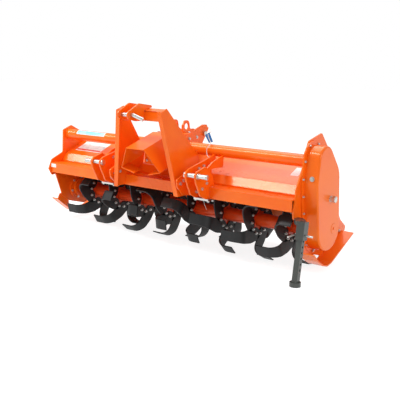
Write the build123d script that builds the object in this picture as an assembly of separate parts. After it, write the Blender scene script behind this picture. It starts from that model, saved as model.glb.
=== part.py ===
from build123d import *
import math
import os

os.makedirs("parts", exist_ok=True)

# Rotavator: a seven-foot soil tiller carried on a tractor's three-point hitch.
# Millimetres, +X toward the gear case, +Y toward the rear, +Z up, floor at Z = 0.

# ---------------------------------------------------------------- driving sizes
SHIFT_X = -44.5
SHIFT_Y = 72.0
FLOOR_Z = 0.0

ROTOR_Z = 250.0            # height of the rotor axis
SWING_R = 250.0            # blade tips
ROTOR_TUBE_R = 44.5
FLANGE_LOBE_R = 120.0      # six lobes that carry the blade bolts
FLANGE_VALLEY_R = 98.0
LOBE_LEAD = 58.0           # degrees from a wing to the lobe behind it
FLANGE_T = 10.0
FLANGE_FIRST = -820.0
FLANGE_PITCH = 246.0
FLANGE_COUNT = 8
ROTOR_STAGGER = 18.0       # degrees from one flange to the next
ROTOR_PHASE = -51.4        # wing angle at the last flange, 0 straight down

BLADE_T = 8.0
WING_W = 68.0              # width of a blade's wing
WING_TILT = 19.0           # clearance angle, the leading corner runs outside
WING_REACH = 133.0         # from the flange's middle plane to the wing's end
BEND_R = 60.0

PLATE_IN = 1056.0          # inner faces of the end plates
PLATE_T = 10.0
PLATE_OUT = PLATE_IN + PLATE_T
RIM_T = 10.0               # joint flange of the gear case
COVER_DEPTH = 89.0
RIM_OUT = PLATE_OUT + RIM_T
COVER_OUT = RIM_OUT + COVER_DEPTH

TUBE_Y = -85.0             # main tube axis
TUBE_Z = 677.0
TUBE_R = 38.0
TUBE_WALL = 6.0

BEAM_FRONT = -270.0        # folded front beam
BEAM_BOTTOM = 398.0
BEAM_TOP = 470.0
BEAM_SHEET = 6.0
SHEET = 5.0                # deck and board sheet

HOOD_FOOT_Y = -158.0       # front skirt of the hood stands on the beam here
HOOD_KNEE = (-122.0, 530.0)
HOOD_CREST = (100.0, 628.0)
HOOD_SHOULDER = (205.0, 560.0)
HOOD_HEEL = (266.0, 470.0)
HOOD_SPLIT_Y = -70.0       # joint of the two hood sheets, under the main tube

MAST_TOP_X = 195.0         # outer faces of the mast legs
MAST_FOOT_X = 285.0
MAST_TOP_Z = 925.0
MAST_FOOT_Z = 398.0
MAST_T = 8.0

HITCH_PIN_Y = -389.0       # lower link pins
HITCH_PIN_Z = 553.0
HITCH_PIN_R = 14.0
EAR_IN_X = 372.0           # inner lower ear, inner face
EAR_OUT_X = 450.0          # outer lower ear, inner face
EAR_T = 12.0
STUB_END_X = 538.0

TOP_PIN_Y = -535.0         # upper link pin
TOP_PIN_Z = 908.0
TOP_PIN_R = 12.5
TOP_EAR_GAP = 35.0         # half the gap between the top ears

SHAFT_Z = 610.0            # input shaft
SHAFT_END_Y = -302.0

STAND_X = 1153.0           # locking pin of the parking stand
STAND_PIN_Y = -316.0
STAND_PIN_Z = 290.0
STAND_LEAN = 9.0           # the foot stands forward of the socket
STAND_W = 34.0             # square tube
SOCKET_W = 50.0
STAND_TRAVEL = 200.0
STAND_HOLES = 7

HINGE_Y = 292.0            # trailing board hinge
HINGE_Z = 432.0
TRUNNION_Y = 190.0
TRUNNION_Z = 745.0
LUG_Y = 385.0
LUG_Z = 318.0


# ---------------------------------------------------------------- small helpers
def rounded(corners):
    """Closed outline from rows (a, b, corner radius) as a list of 2-D edges' points."""
    n = len(corners)
    segs = []
    trims = []
    for i in range(n):
        ax, ay, _ = corners[i - 1]
        bx, by, r = corners[i]
        cx, cy, _ = corners[(i + 1) % n]
        u = Vector(ax - bx, ay - by, 0).normalized()
        v = Vector(cx - bx, cy - by, 0).normalized()
        if r <= 0.01:
            trims.append(((bx, by), None, (bx, by)))
            continue
        half = math.acos(max(-1.0, min(1.0, u.dot(v)))) / 2
        d = r / math.tan(half)
        k = r / math.sin(half)
        w = (u + v).normalized()
        p = (bx + u.X * d, by + u.Y * d)
        q = (bx + v.X * d, by + v.Y * d)
        m = (bx + w.X * (k - r), by + w.Y * (k - r))
        trims.append((p, m, q))
    for i in range(n):
        p, m, q = trims[i]
        if m is not None:
            segs.append((p, m, q))
        nxt = trims[(i + 1) % n][0]
        if math.hypot(nxt[0] - q[0], nxt[1] - q[1]) > 0.01:
            segs.append((q, None, nxt))
    return segs


def face_of(corners, place):
    """Planar face from rounded corners; place maps (a, b) to a point in space."""
    edges = []
    for p, m, q in rounded(corners):
        if m is None:
            edges.append(Line(place(*p), place(*q)))
        else:
            edges.append(ThreePointArc(place(*p), place(*m), place(*q)))
    return make_face(Wire(edges))


def side(corners, x0, x1):
    """Plate whose outline lies in the Y-Z plane, between two X positions."""
    f = face_of(corners, lambda a, b: (x0, a, b))
    return extrude(f, amount=x1 - x0, dir=(1, 0, 0))


def front(corners, y0, y1):
    f = face_of(corners, lambda a, b: (a, y0, b))
    return extrude(f, amount=y1 - y0, dir=(0, 1, 0))


def top(corners, z0, z1):
    f = face_of(corners, lambda a, b: (a, b, z0))
    return extrude(f, amount=z1 - z0, dir=(0, 0, 1))


def strip(line, t, r=0.0):
    """Outline of a folded sheet: a row of points thickened to its left by t."""
    n = len(line)
    left = []
    for i in range(n):
        x, y = line[i]
        dirs = []
        if i > 0:
            dirs.append(Vector(x - line[i - 1][0], y - line[i - 1][1], 0).normalized())
        if i < n - 1:
            dirs.append(Vector(line[i + 1][0] - x, line[i + 1][1] - y, 0).normalized())
        a = dirs[0]
        b = dirs[-1]
        na = Vector(-a.Y, a.X, 0)
        nb = Vector(-b.Y, b.X, 0)
        m = (na + nb).normalized()
        k = t / max(0.3, m.dot(na))
        left.append((x + m.X * k, y + m.Y * k))
    rows = [(x, y, r if 0 < i < n - 1 else 0.0) for i, (x, y) in enumerate(line)]
    back = [(x, y, r if 0 < i < n - 1 else 0.0) for i, (x, y) in enumerate(left)]
    return rows + back[::-1]


def belt(rounds, x0, x1):
    """Plate wrapped tightly round a loop of circles (y, z, r), between two X positions."""
    n = len(rounds)
    touch = []
    for i in range(n):
        ay, az, ar = rounds[i]
        by, bz, br = rounds[(i + 1) % n]
        length = math.hypot(by - ay, bz - az)
        lean = math.atan2(bz - az, by - ay) - math.acos((ar - br) / length)
        touch.append(lean)
    edges = []
    for i in range(n):
        y, z, r = rounds[i]
        start = touch[i - 1]
        end = touch[i]
        while end < start:
            end += 2 * math.pi
        if end - start > 1e-4:
            p = [(x0, y + r * math.cos(t), z + r * math.sin(t)) for t in (start, (start + end) / 2, end)]
            edges.append(ThreePointArc(*p))
        ny, nz, nr = rounds[(i + 1) % n]
        q = (x0, y + r * math.cos(end), z + r * math.sin(end))
        w = (x0, ny + nr * math.cos(end), nz + nr * math.sin(end))
        edges.append(Line(q, w))
    return extrude(make_face(Wire(edges)), amount=x1 - x0, dir=(1, 0, 0))


def rod(x0, x1, y, z, r):
    return Plane(origin=(x0, y, z), x_dir=(0, 1, 0), z_dir=(1, 0, 0)) * extrude(Circle(r), amount=x1 - x0)


def rod_y(y0, y1, x, z, r):
    return Plane(origin=(x, y0, z), x_dir=(1, 0, 0), z_dir=(0, 1, 0)) * extrude(Circle(r), amount=y1 - y0)


def rod_z(z0, z1, x, y, r):
    return Plane(origin=(x, y, z0), x_dir=(1, 0, 0), z_dir=(0, 0, 1)) * extrude(Circle(r), amount=z1 - z0)


def bar(p, q, r):
    """Round bar between two points."""
    a = Vector(*p)
    b = Vector(*q)
    d = b - a
    return Plane(origin=a, z_dir=d.normalized()) * extrude(Circle(r), amount=d.length)


def block(x0, x1, y0, y1, z0, z1):
    return Pos((x0 + x1) / 2, (y0 + y1) / 2, (z0 + z1) / 2) * Box(x1 - x0, y1 - y0, z1 - z0)


def mirror_x(shape):
    return mirror(shape, about=Plane.YZ)


NODES = {}


def keep(name, *solids):
    NODES[name] = list(solids)


# ---------------------------------------------------------------- end plates
# rows: y, z, corner radius
RIGHT_PLATE = [
    (-215, 335, 25), (-257, 356, 12), (-265, 399, 10), (-233, 542, 60), (-164, 668, 60), (-130, 775, 25),
    (-118, 800, 15), (34, 835, 8), (110, 755, 30), (205, 640, 60), (286, 470, 30), (298, 330, 60),
    (345, 255, 60), (428, 195, 10), (420, 160, 20), (250, 150, 80), (90, 78, 60), (-45, 95, 70),
    (-128, 190, 60), (-150, 300, 40),
]
LEFT_PLATE = [
    (-229, 380, 8), (-263, 372, 10), (-293, 424, 12), (-259, 495, 12), (-150, 541, 20), (-142, 712, 12),
    (-61, 742, 8), (40, 690, 30), (205, 610, 60), (286, 470, 30), (298, 330, 60),
    (345, 255, 60), (428, 195, 10), (420, 160, 20), (250, 150, 80), (118, 126, 40), (53, 109, 40),
    (-99, 150, 20), (-165, 200, 20),
]
right_plate = side(RIGHT_PLATE, PLATE_IN, PLATE_OUT)
left_plate = side(LEFT_PLATE, -PLATE_OUT, -PLATE_IN)
right_plate -= rod(PLATE_IN - 1, PLATE_OUT + 1, 0, ROTOR_Z, 52.0)
left_plate -= rod(-PLATE_OUT - 1, -PLATE_IN + 1, 0, ROTOR_Z, 52.0)
keep("side_plate_right", right_plate)
keep("side_plate_left", left_plate)

# ---------------------------------------------------------------- gear case
# rows: y, z, radius of the rounds the case is wrapped about, anticlockwise
CASE = [(0, 268, 135), (-35, 560, 140), (-75, 690, 85), (-35, 560, 140)]
rim = belt([(y, z, r + 25) for y, z, r in CASE], PLATE_OUT, RIM_OUT)
case = belt(CASE, RIM_OUT, COVER_OUT)
case = fillet(case.faces().sort_by(Axis.X)[-1].edges(), 12)
keep("gear_case_rim", rim)
keep("gear_case_cover", case)
PLUG_Y = -6.0
PLUG_Z = 455.0
plug = rod(COVER_OUT, COVER_OUT + 8, PLUG_Y, PLUG_Z, 17)
plug += rod(COVER_OUT + 8, COVER_OUT + 22, PLUG_Y, PLUG_Z, 11)
keep("gear_case_plug", plug)

# ---------------------------------------------------------------- main tube and gearbox
GB_X = 110.0
GB_FRONT = -190.0
GB_REAR = 35.0
GB_FLANGE_R = 78.0
GB_FLANGE_T = 14.0
FRONT_PLATE_T = 12.0
half_tube = rod(GB_X + GB_FLANGE_T, PLATE_IN, TUBE_Y, TUBE_Z, TUBE_R)
half_tube += rod(GB_X, GB_X + GB_FLANGE_T, TUBE_Y, TUBE_Z, GB_FLANGE_R)
half_tube -= rod(GB_X - 1, PLATE_IN + 1, TUBE_Y, TUBE_Z, TUBE_R - TUBE_WALL)
keep("main_tube_right", half_tube)
keep("main_tube_left", mirror_x(half_tube))

# rows: y, z, corner radius
GEARBOX = [
    (GB_FRONT, 560, 20), (GB_FRONT, 750, 25), (GB_FRONT + 40, 765, 25), (GB_REAR - 30, 765, 30),
    (GB_REAR, 735, 25), (GB_REAR, 575, 20), (GB_REAR - 25, 552, 20), (GB_FRONT + 20, 552, 15),
]
gear_body = side(GEARBOX, -GB_X, GB_X)
gearbox = gear_body - rod(-GB_X - 1, -GB_X + 18, TUBE_Y, TUBE_Z, TUBE_R - TUBE_WALL)
gearbox -= rod(GB_X - 18, GB_X + 1, TUBE_Y, TUBE_Z, TUBE_R - TUBE_WALL)
gearbox -= rod_y(GB_FRONT - 1, GB_FRONT + 40, 0, SHAFT_Z, 30)
keep("gearbox", gearbox)

# rows: x, z, corner radius
FRONT_PLATE = [(-150, 552, 15), (-150, 640, 30), (-80, 772, 6), (80, 772, 6), (150, 640, 30), (150, 552, 15)]
SHIELD_BACK = GB_FRONT - FRONT_PLATE_T
front_plate = front(FRONT_PLATE, SHIELD_BACK, GB_FRONT)
front_plate += rod_y(SHIELD_BACK - 15, SHIELD_BACK, 0, SHAFT_Z, 48)
front_plate -= rod_y(SHIELD_BACK - 16, GB_FRONT + 1, 0, SHAFT_Z, 24.3)
keep("gearbox_front_plate", front_plate)

# splined input shaft
SPLINE_BACK = SHIELD_BACK - 18.0
shaft = rod_y(SHAFT_END_Y, GB_FRONT + 36, 0, SHAFT_Z, 17.5)
shaft += rod_y(SPLINE_BACK + 8, GB_FRONT + 36, 0, SHAFT_Z, 24)
for i in range(6):
    groove = block(-2.6, 2.6, SHAFT_END_Y - 5, SPLINE_BACK, 14.6, 22)
    shaft -= Pos(0, 0, SHAFT_Z) * (Rot(0, 60 * i, 0) * groove)
ball_groove = rod_y(SHAFT_END_Y + 20, SHAFT_END_Y + 28, 0, SHAFT_Z, 22)
ball_groove -= rod_y(SHAFT_END_Y + 20, SHAFT_END_Y + 28, 0, SHAFT_Z, 14.8)
keep("pto_shaft", shaft - ball_groove)

# ---------------------------------------------------------------- shaft shield
# rows: half width, y and z of the front corner
SHIELD_TOP = (77.0, -461.0, 687.0)
SHIELD_SIDE = (171.0, -408.0, 542.0)
SHIELD_LIP = (60.0, -403.0, 514.0)
SHIELD_RISE = 0.332         # the roof climbs toward the gearbox
LIP_BACK = -340.0           # the folded lips stop short of the drive shaft's room
SHIELD_T = 4.0


def panel(a, b, c, d, t):
    """Flat four-cornered sheet; t is the thickness vector."""
    f = make_face(Polyline(a, b, c, d, close=True))
    return extrude(f, amount=Vector(*t).length, dir=t)


def on_plane(p, q, r, x, y):
    """Point at (x, y) on the plane through three points."""
    n = (q - p).cross(r - p)
    return Vector(x, y, p.Z - (n.X * (x - p.X) + n.Y * (y - p.Y)) / n.Z)


w0, y0, z0 = SHIELD_TOP
w1, y1, z1 = SHIELD_SIDE
w2, y2, z2 = SHIELD_LIP
z_back = z0 + (SHIELD_BACK - y0) * SHIELD_RISE
shield_back = ((w0, SHIELD_BACK, z_back), (-w0, SHIELD_BACK, z_back))
shield = panel((-w0, y0, z0), (w0, y0, z0), *shield_back, (0, 0, -SHIELD_T))
for s in (1, -1):
    a = Vector(s * w0, y0, z0)
    b = Vector(s * w1, y1, z1)
    c = Vector(s * w0, SHIELD_BACK, z_back)
    d = on_plane(a, b, c, s * w1, SHIELD_BACK)
    shield += panel(a, b, d, c, (-s * SHIELD_T, 0, 0))
    e = Vector(s * w2, y2, z2)
    f = on_plane(b, e, d, s * w2, LIP_BACK)
    g = on_plane(a, b, c, s * w1, LIP_BACK)
    shield += panel(b, e, f, g, (0, 0, SHIELD_T))
keep("pto_shield", shield)

# ---------------------------------------------------------------- front beam and deck
BEAM_BACK = HOOD_FOOT_Y + 8.0
beam_line = [(BEAM_BACK, BEAM_TOP), (BEAM_FRONT, BEAM_TOP), (BEAM_FRONT, BEAM_BOTTOM), (-225, BEAM_BOTTOM)]
keep("front_beam", side(strip(beam_line, BEAM_SHEET), -PLATE_IN, PLATE_IN))


def hood_z(y):
    """Height of the hood's top face between its knee and its crest."""
    rise = (HOOD_CREST[1] - HOOD_KNEE[1]) / (HOOD_CREST[0] - HOOD_KNEE[0])
    return HOOD_KNEE[1] + (y - HOOD_KNEE[0]) * rise


split = (HOOD_SPLIT_Y, hood_z(HOOD_SPLIT_Y))
hood_front_line = [split, HOOD_KNEE, (HOOD_FOOT_Y, 480), (HOOD_FOOT_Y, BEAM_TOP)]
hood_rear_line = [HOOD_HEEL, HOOD_SHOULDER, HOOD_CREST, split]
deck_front = side(strip(hood_front_line, SHEET), -PLATE_IN, PLATE_IN)
deck_rear = side(strip(hood_rear_line, SHEET), -PLATE_IN, PLATE_IN)
# rows: y, z, corner radius
HINGE_LUG = [(262, 462, 0), (282, 444, 0), (284, 420, 8), (300, 420, 8), (304, 440, 10), (262, 480, 0)]
for lug_x in (-675, -225, 225, 675):
    deck_rear += side(HINGE_LUG, lug_x - 5, lug_x + 5)
deck_rear -= rod(-PLATE_IN - 1, PLATE_IN + 1, HINGE_Y, HINGE_Z, 8.0)

# what stands on the hood is cut to this outline
HOOD = [
    (HOOD_FOOT_Y, 300, 0), (HOOD_FOOT_Y, 480, 0), (*HOOD_KNEE, 0), (*HOOD_CREST, 0), (*HOOD_SHOULDER, 0),
    (*HOOD_HEEL, 0), (266, 300, 0),
]
hood_room = side(HOOD, -PLATE_IN, PLATE_IN)
gear_room = gear_body + rod(-GB_X - GB_FLANGE_T, GB_X + GB_FLANGE_T, TUBE_Y, TUBE_Z, GB_FLANGE_R)
tube_room = rod(-PLATE_IN - 1, PLATE_IN + 1, TUBE_Y, TUBE_Z, TUBE_R)
keep("deck_front", deck_front - gear_room)
keep("deck_rear", deck_rear - gear_room)

# ---------------------------------------------------------------- rotor
def turned(angle, radius):
    """Point of the rotor at an angle from straight down, positive toward the rear."""
    a = math.radians(angle)
    return (radius * math.sin(a), -radius * math.cos(a))


def wing_angle(i):
    """Angle of the first left-turned wing on flange i."""
    return ROTOR_PHASE - ROTOR_STAGGER * (FLANGE_COUNT - 1 - i)


JOURNAL_R = 29.5
tube = rod(FLANGE_FIRST - 185, PLATE_IN - 32, 0, ROTOR_Z, ROTOR_TUBE_R)
tube += rod(-PLATE_IN + 6, FLANGE_FIRST - 180, 0, ROTOR_Z, JOURNAL_R)
tube += rod(PLATE_IN - 33, PLATE_IN - 4, 0, ROTOR_Z, JOURNAL_R)
lobes = []
for k in range(6):
    lobes.append(turned(60 * k + LOBE_LEAD, FLANGE_LOBE_R))
    lobes.append(turned(60 * k + LOBE_LEAD + 30, FLANGE_VALLEY_R))
for i in range(FLANGE_COUNT):
    fx = FLANGE_FIRST + i * FLANGE_PITCH
    outline = make_face(Polyline(*[(fx - FLANGE_T / 2, y, z) for y, z in lobes], close=True))
    flange = extrude(outline, amount=FLANGE_T, dir=(1, 0, 0))
    tube += Pos(0, 0, ROTOR_Z) * (Rot(wing_angle(i), 0, 0) * flange)
keep("rotor_tube", tube)

# sabre outline of a hanging blade, root first; rows: y, z, corner radius
SABRE = [
    (98, -4, 20), (120, -62, 50), (100, -138, 120), (62, -204, 80), (32, -248, 0), (24, -262, 0),
    (-40, -244, 0), (-32, -226, 0), (-8, -160, 60), (12, -100, 40), (36, -42, 20),
]


def blade_master(reach):
    """One L blade hanging straight down, its shank from x = 0 and its wing out to x = reach."""
    tilt = math.radians(WING_TILT)
    half = WING_W / 2
    lead = math.sqrt(SWING_R ** 2 - (half * math.cos(tilt)) ** 2)
    wing_z = half * math.cos(tilt) * math.sin(tilt) - lead * math.cos(tilt)
    # rows: x, z, corner radius
    rows = [
        (0, 60, 0), (0, wing_z, BEND_R + BLADE_T), (reach, wing_z, 0),
        (reach, wing_z + BLADE_T, 0), (BLADE_T, wing_z + BLADE_T, BEND_R), (BLADE_T, 60, 0),
    ]
    section = face_of(rows, lambda a, b: (a, -160, b))
    sheet = Rot(-WING_TILT, 0, 0) * extrude(section, amount=420, dir=(0, 1, 0))
    sheet = sheet & side(SABRE, -5, reach + 5)
    sheet = sheet & rod(-5, reach + 5, 0, 0, SWING_R)
    return sheet - rod(-5, reach + 5, 0, 0, ROTOR_TUBE_R + 1)


# all six roots sit on the flange's face toward the gear case
SHANK_IN = FLANGE_T / 2
SHANK_OUT = SHANK_IN + BLADE_T
BLADE_PLUS = Pos(SHANK_IN, 0, 0) * blade_master(WING_REACH - SHANK_IN)
BLADE_MINUS = Pos(SHANK_OUT, 0, 0) * mirror_x(blade_master(WING_REACH + SHANK_OUT))
for i in range(FLANGE_COUNT):
    row = []
    for k in range(3):
        for turn, master in ((0.0, BLADE_MINUS), (60.0, BLADE_PLUS)):
            spin = Rot(wing_angle(i) + turn + 120.0 * k, 0, 0)
            row.append(Pos(FLANGE_FIRST + i * FLANGE_PITCH, 0, ROTOR_Z) * (spin * master))
    keep("blade_set_%d" % (i + 1), *row)

# bearing housings at the two ends of the rotor
bearing = rod(-PLATE_IN, -PLATE_IN + 14, 0, ROTOR_Z, 92)
bearing += rod(-PLATE_IN + 14, -PLATE_IN + 40, 0, ROTOR_Z, 66)
bearing -= rod(-PLATE_IN - 1, -PLATE_IN + 48, 0, ROTOR_Z, JOURNAL_R + 0.5)
bearing += rod(-PLATE_OUT - 12, -PLATE_IN, 0, ROTOR_Z, 51.5)
keep("bearing_left", bearing)
bearing = rod(PLATE_IN - 14, PLATE_IN, 0, ROTOR_Z, 84)
bearing += rod(PLATE_IN - 24, PLATE_IN - 14, 0, ROTOR_Z, 62)
bearing -= rod(PLATE_IN - 30, PLATE_IN + 1, 0, ROTOR_Z, JOURNAL_R + 0.5)
bearing += rod(PLATE_IN, PLATE_OUT, 0, ROTOR_Z, 51.7)
keep("bearing_right", bearing)

# ---------------------------------------------------------------- mast
def mast_x(z):
    """Outer face of a mast leg; the legs lean together toward the top."""
    return MAST_TOP_X + (MAST_FOOT_X - MAST_TOP_X) * (MAST_TOP_Z - z) / (MAST_TOP_Z - MAST_FOOT_Z)


MAST_FRONT_TOP = -432.0
MAST_FRONT_FOOT = -366.0
MAST_FLANGE = 35.0
# rows: y, z
LEG = [
    (MAST_FRONT_TOP, MAST_TOP_Z), (-370, 948), (-130, 657), (-108, 657), (-108, 500), (HOOD_FOOT_Y, BEAM_TOP),
    (BEAM_FRONT, BEAM_TOP), (BEAM_FRONT, MAST_FOOT_Z), (MAST_FRONT_FOOT, MAST_FOOT_Z),
]
leg_face = make_face(Polyline(*[(mast_x(z), y, z) for y, z in LEG], close=True))
leg = extrude(leg_face, amount=MAST_T, dir=(-1, 0, 0))
edge_rows = []
for inset, y, z in (
        (0, MAST_FRONT_TOP, MAST_TOP_Z), (MAST_FLANGE, MAST_FRONT_TOP, MAST_TOP_Z),
        (MAST_FLANGE, MAST_FRONT_FOOT, MAST_FOOT_Z), (0, MAST_FRONT_FOOT, MAST_FOOT_Z)):
    edge_rows.append((mast_x(z) - inset, y, z))
leg += extrude(make_face(Polyline(*edge_rows, close=True)), amount=8, dir=(0, 1, 0))
leg -= tube_room
leg -= hood_room
keep("mast_right", leg)
keep("mast_left", mirror_x(leg))

# hollow beam across the mast's head; rows: y, z, corner radius
CROSS = [(-424, 868, 0), (-424, 930, 0), (-372, 944, 0), (-366, 880, 0)]
CROSS_CORE = [(-418, 874, 0), (-418, 925, 0), (-377, 936, 0), (-372, 885, 0)]
cross = side(CROSS, 0, 260)
BEYOND_LEG = [(mast_x(1000) - MAST_T, 1000, 0), (mast_x(800) - MAST_T, 800, 0), (600, 800, 0), (600, 1000, 0)]
beyond = front(BEYOND_LEG, -500, -200)
cross = cross - beyond - leg
cross = cross + mirror_x(cross)
keep("mast_crossbeam", cross - side(CROSS_CORE, -150, 150))

# top link ears and their pin; rows: y, z, corner radius
TOP_EAR_T = 12.0
TOP_EAR = [
    (-424, 930, 0), (-424, 868, 0), (-500, 868, 20), (-570, 885, 22), (-572, 925, 24), (-468, 978, 10),
    (-352, 962, 10), (-350, 948, 0), (-372, 944, 0),
]
ear = side(TOP_EAR, TOP_EAR_GAP, TOP_EAR_GAP + TOP_EAR_T)
ear -= rod(0, 100, TOP_PIN_Y, TOP_PIN_Z, TOP_PIN_R + 0.2)
keep("top_link_ears", ear, mirror_x(ear))
TOP_PIN_END = TOP_EAR_GAP + TOP_EAR_T + 15.0
top_pin = rod(-TOP_PIN_END, TOP_PIN_END, TOP_PIN_Y, TOP_PIN_Z, TOP_PIN_R)
handle_start = (TOP_PIN_END - 4, TOP_PIN_Y, TOP_PIN_Z + 1)
top_pin += bar(handle_start, (TOP_PIN_END + 60, TOP_PIN_Y + 22, TOP_PIN_Z - 26), TOP_PIN_R - 1)
keep("top_link_pin", top_pin)

# ---------------------------------------------------------------- lower hitch
# rows: y, z, corner radius; the ears stand on the beam and reach back under the main tube
INNER_EAR = [
    (BEAM_FRONT, 398, 0), (-305, 398, 8), (-360, 426, 15), (-409, 530, 20), (-415, 564, 20), (-382, 588, 25),
    (-315, 606, 60), (-228, 625, 20), (-108, 657, 0), (-108, 610, 0), (-150, 565, 15),
    (-143, 517, 0), (-116, BEAM_TOP, 0), (BEAM_FRONT, BEAM_TOP, 0),
]
OUTER_EAR = [
    (BEAM_FRONT, 398, 0), (-305, 398, 8), (-360, 426, 15), (-404, 510, 20), (-418, 560, 20), (-396, 582, 20),
    (-314, 606, 14), (-282, 586, 25), (-238, 535, 30), (-216, BEAM_TOP, 0), (BEAM_FRONT, BEAM_TOP, 0),
]
EAR_STRUT = [
    (-300, 550, 0), (-285, 586, 0), (-225, 624, 10), (-108, 657, 0), (-115, 580, 0), (-232, 582, 0),
]
MAST_FOOT = [
    (BEAM_FRONT, 398, 0), (-338, 410, 15), (-390, 466, 25), (-397, 512, 20), (-326, 540, 20), (-270, 545, 15),
    (-240, 480, 0), (-240, BEAM_TOP, 0), (BEAM_FRONT, BEAM_TOP, 0),
]
MAST_FOOT_X0 = 291.0
MAST_FOOT_T = 10.0
PIN_COLLAR_R = 20.0
CLAMP_T = 12.0


def ear_plate(outline, x0, x1):
    plate = side(outline, x0, x1) - tube_room - hood_room
    return plate - rod(x0 - 1, x1 + 1, HITCH_PIN_Y, HITCH_PIN_Z, HITCH_PIN_R + 0.2)


inner_ear = ear_plate(INNER_EAR, EAR_IN_X, EAR_IN_X + EAR_T)
outer_ear = ear_plate(OUTER_EAR, EAR_OUT_X, EAR_OUT_X + EAR_T)
outer_ear += ear_plate(EAR_STRUT, EAR_OUT_X - 10, EAR_OUT_X)
link_pin = rod(EAR_IN_X - 14, STUB_END_X, HITCH_PIN_Y, HITCH_PIN_Z, HITCH_PIN_R)
link_pin += rod(EAR_OUT_X + EAR_T, EAR_OUT_X + EAR_T + 8, HITCH_PIN_Y, HITCH_PIN_Z, PIN_COLLAR_R)
link_pin += rod(EAR_IN_X - 10, EAR_IN_X, HITCH_PIN_Y, HITCH_PIN_Z, PIN_COLLAR_R)
link_pin = chamfer(link_pin.faces().sort_by(Axis.X)[-1].edges(), 3)
clamp = block(EAR_IN_X - 12, EAR_OUT_X + EAR_T + 12, -300, -226, BEAM_BOTTOM - CLAMP_T, BEAM_BOTTOM)
mast_foot = side(MAST_FOOT, MAST_FOOT_X0, MAST_FOOT_X0 + MAST_FOOT_T)
keep("hitch_ears_right", inner_ear, outer_ear)
keep("hitch_ears_left", mirror_x(inner_ear), mirror_x(outer_ear))
for node, solid in (("lower_link_pin", link_pin), ("hitch_clamp", clamp), ("mast_foot_bracket", mast_foot)):
    keep(node + "_right", solid)
    keep(node + "_left", mirror_x(solid))

# ---------------------------------------------------------------- rear brackets and trunnion
BRACKET_IN = 45.0
BRACKET_T = 10.0
TRUNNION_R = 16.0
EYE_Y = -4.0
EYE_Z = 807.0
EYE_R = 22.0
# rows: y, z, corner radius; each plate has a lifting eye, and the right one a tall arm
BRACKET_EYE = [
    (GB_REAR, 735, 0), (5, 765, 0), (-48, 765, 0), (-48, 815, 30), (-28, 848, 26), (20, 848, 26),
    (34, 790, 12),
]
BRACKET_FOOT = [(144, 633, 0), (128, 560, 0), (GB_REAR, 560, 0)]
RIGHT_ARM = [(78, 774, 25), (178, 808, 12), (222, 806, 16), (243, 776, 10)]
LEFT_ARM = [(72, 772, 25), (205, 772, 22), (226, 752, 16)]
eye_hole = rod(-BRACKET_IN - 20, BRACKET_IN + 20, EYE_Y, EYE_Z, EYE_R)
trunnion_hole = rod(-BRACKET_IN - 20, BRACKET_IN + 20, TRUNNION_Y, TRUNNION_Z, TRUNNION_R + 0.2)
bracket = side(BRACKET_EYE + RIGHT_ARM + BRACKET_FOOT, BRACKET_IN, BRACKET_IN + BRACKET_T)
keep("rear_bracket_right", bracket - hood_room - eye_hole - trunnion_hole)
bracket = side(BRACKET_EYE + LEFT_ARM + BRACKET_FOOT, -BRACKET_IN - BRACKET_T, -BRACKET_IN)
keep("rear_bracket_left", bracket - hood_room - eye_hole - trunnion_hole)
trunnion_end = BRACKET_IN + BRACKET_T + 17.0
keep("trunnion", rod(-trunnion_end, trunnion_end, TRUNNION_Y, TRUNNION_Z, TRUNNION_R))

# ---------------------------------------------------------------- parking stand
# built upright about its locking pin, then leant
STAND_PLACE = Pos(STAND_X, STAND_PIN_Y, STAND_PIN_Z) * Rot(-STAND_LEAN, 0, 0)
SOCKET_LOW = -28.0
SOCKET_TOP = 78.0
STAND_BORE = STAND_W / 2 + 0.5
STAND_TOP = 70.0
STAND_WALL = 4.0
STAND_PIN_R = 6.0
STAND_BEND = 35.0           # the pin's grip is bent forward this far from the tube's axis
STAND_GRIP = 64.0
FOOT_R = 33.0
FOOT_H = 26.0
FOOT_Y = STAND_PIN_Y - STAND_PIN_Z * math.tan(math.radians(STAND_LEAN))
# rows: x, y, corner radius
SOCKET_ARM = [
    (PLATE_OUT, -258, 0), (PLATE_OUT, -208, 0), (1100, -208, 10), (1174, -288, 0), (1132, -322, 0),
    (1100, -300, 20),
]
half_socket = SOCKET_W / 2
half_tube_w = STAND_W / 2
socket_bore = block(-STAND_BORE, STAND_BORE, -STAND_BORE, STAND_BORE, SOCKET_LOW - 20, SOCKET_TOP + 20)
socket = STAND_PLACE * block(-half_socket, half_socket, -half_socket, half_socket, SOCKET_LOW, SOCKET_TOP)
socket += top(SOCKET_ARM, 340, 362)
socket -= STAND_PLACE * socket_bore
socket -= rod(STAND_X - 60, STAND_X + 60, STAND_PIN_Y, STAND_PIN_Z, STAND_PIN_R + 0.2)
keep("stand_socket", socket)
stand = STAND_PLACE * block(-half_tube_w, half_tube_w, -half_tube_w, half_tube_w, -STAND_PIN_Z, STAND_TOP)
hollow = half_tube_w - STAND_WALL
stand -= STAND_PLACE * block(-hollow, hollow, -hollow, hollow, 50 - STAND_PIN_Z, STAND_TOP + 1)
stand -= block(STAND_X - 60, STAND_X + 60, FOOT_Y - 90, FOOT_Y + 90, -60, 12)
for i in range(STAND_HOLES):
    down = -i * STAND_TRAVEL / (STAND_HOLES - 1)
    stand -= STAND_PLACE * bar((-60, 0, down), (60, 0, down), STAND_PIN_R + 0.3)
stand += rod_z(0, FOOT_H, STAND_X, FOOT_Y, FOOT_R)
keep("stand_tube", stand)
pin_bend = (STAND_X - STAND_BEND, STAND_PIN_Y, STAND_PIN_Z)
stand_pin = rod(STAND_X - STAND_BEND, STAND_X + 70, STAND_PIN_Y, STAND_PIN_Z, STAND_PIN_R)
grip_end = (STAND_X - STAND_BEND - 16, STAND_PIN_Y - STAND_GRIP, STAND_PIN_Z - 8)
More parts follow.
